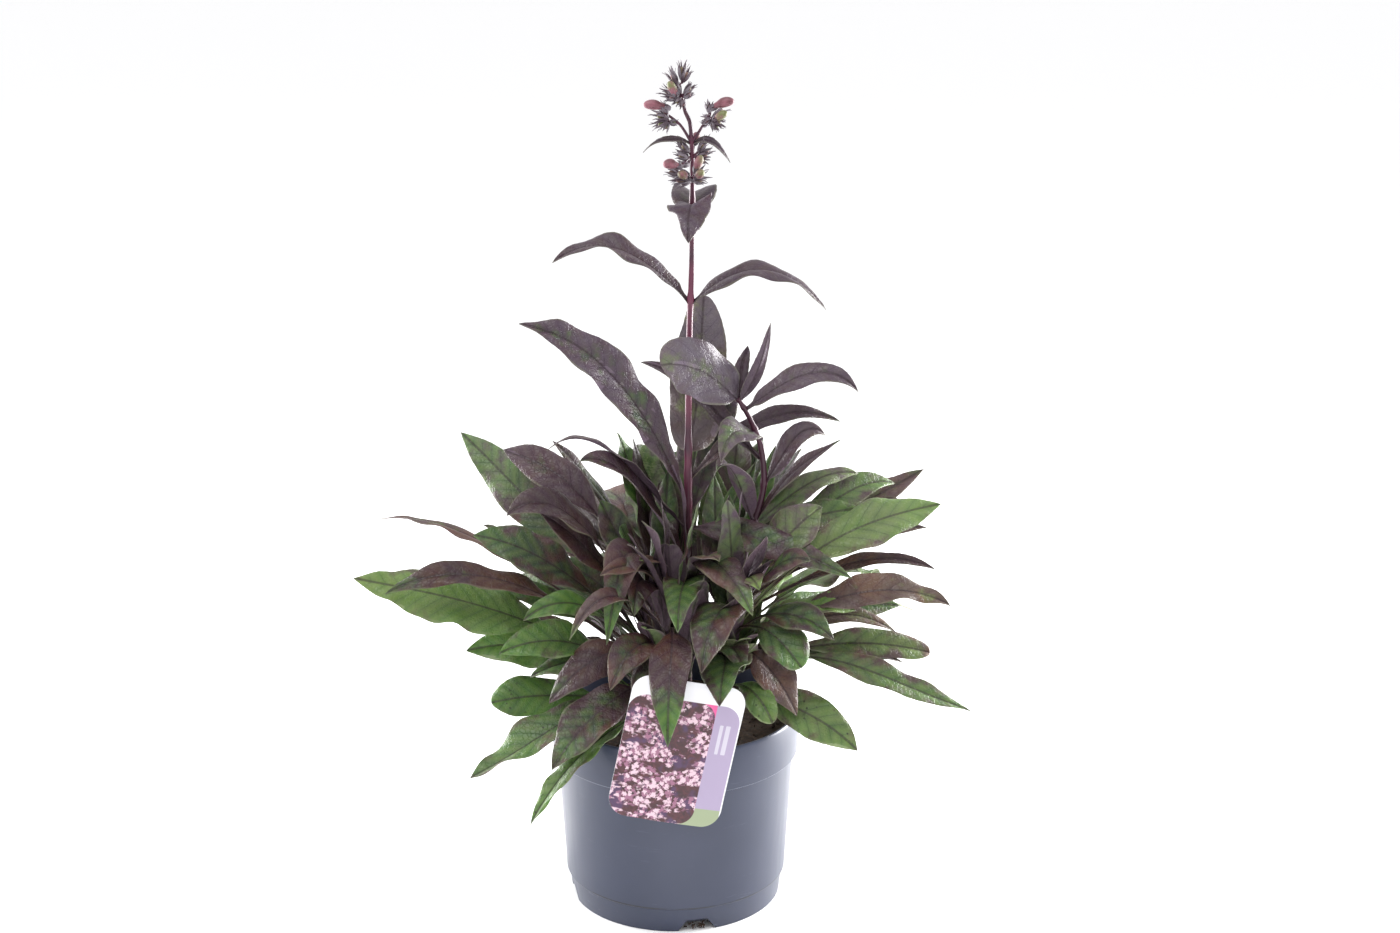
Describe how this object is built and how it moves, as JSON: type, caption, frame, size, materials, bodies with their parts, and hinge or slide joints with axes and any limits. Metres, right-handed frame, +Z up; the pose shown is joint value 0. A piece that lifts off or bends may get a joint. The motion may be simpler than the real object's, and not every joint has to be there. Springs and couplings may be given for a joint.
{
  "type": "potted penstemon",
  "caption": "Bronze-leaved flowering perennial with lance-shaped leaves and a budding flower spike, growing in a round plastic nursery pot of soil with a clip-on picture label.",
  "frame": {"origin": "middle of the pot's underside, in the plane it stands on", "axes": "+Z up, +X to the plant's right as seen from the label, +Y away from the label's side"},
  "size_m": [0.4587, 0.3184, 0.6399],
  "materials": {
    "pot": "satin",
    "soil": "rough and damp",
    "label": "semi-gloss",
    "crown": "matte",
    "stem": "satin",
    "bud": "satin",
    "leaf_green": "satin",
    "leaf_bronze": "satin",
    "leaf_purple": "satin"
  },
  "bodies": {
    "root": {"pot": "pot", "soil": "soil", "label": "label", "crown": "crown", "flower_stem": "stem", "second_stem": "stem", "bud_left": "bud", "bud_right": "bud", "bud_low_left": "bud", "leaf_left_1": "leaf_green", "leaf_left_2": "leaf_purple", "leaf_left_3": "leaf_bronze", "leaf_left_4": "leaf_bronze", "leaf_left_5": "leaf_green", "leaf_left_6": "leaf_purple", "leaf_left_7": "leaf_purple", "leaf_left_8": "leaf_green", "leaf_left_9": "leaf_green", "leaf_front_1": "leaf_purple", "leaf_front_2": "leaf_green", "leaf_front_3": "leaf_bronze", "leaf_front_4": "leaf_green", "leaf_front_5": "leaf_purple", "leaf_front_6": "leaf_bronze", "leaf_front_7": "leaf_bronze", "leaf_front_8": "leaf_bronze", "leaf_front_9": "leaf_green", "leaf_front_10": "leaf_bronze", "leaf_front_11": "leaf_green", "leaf_front_12": "leaf_green", "leaf_front_13": "leaf_green", "leaf_right_1": "leaf_green", "leaf_right_2": "leaf_green", "leaf_right_3": "leaf_purple", "leaf_right_4": "leaf_green", "leaf_right_5": "leaf_bronze", "leaf_right_6": "leaf_green", "leaf_right_7": "leaf_green", "leaf_second_1": "leaf_bronze", "leaf_second_2": "leaf_purple", "leaf_second_3": "leaf_bronze", "leaf_second_4": "leaf_bronze", "leaf_second_5": "leaf_purple", "leaf_second_6": "leaf_bronze", "leaf_second_7": "leaf_purple", "leaf_stem_1": "leaf_purple", "leaf_stem_2": "leaf_bronze", "leaf_stem_3": "leaf_bronze", "leaf_stem_4": "leaf_purple", "leaf_stem_5": "leaf_purple", "leaf_stem_6": "leaf_purple", "leaf_stem_7": "leaf_purple", "leaf_back_1": "leaf_green", "leaf_back_2": "leaf_bronze", "leaf_back_3": "leaf_green", "leaf_back_4": "leaf_bronze", "leaf_back_5": "leaf_green", "leaf_back_6": "leaf_bronze", "leaf_back_7": "leaf_green", "leaf_back_8": "leaf_bronze"}
  },
  "joints": []
}
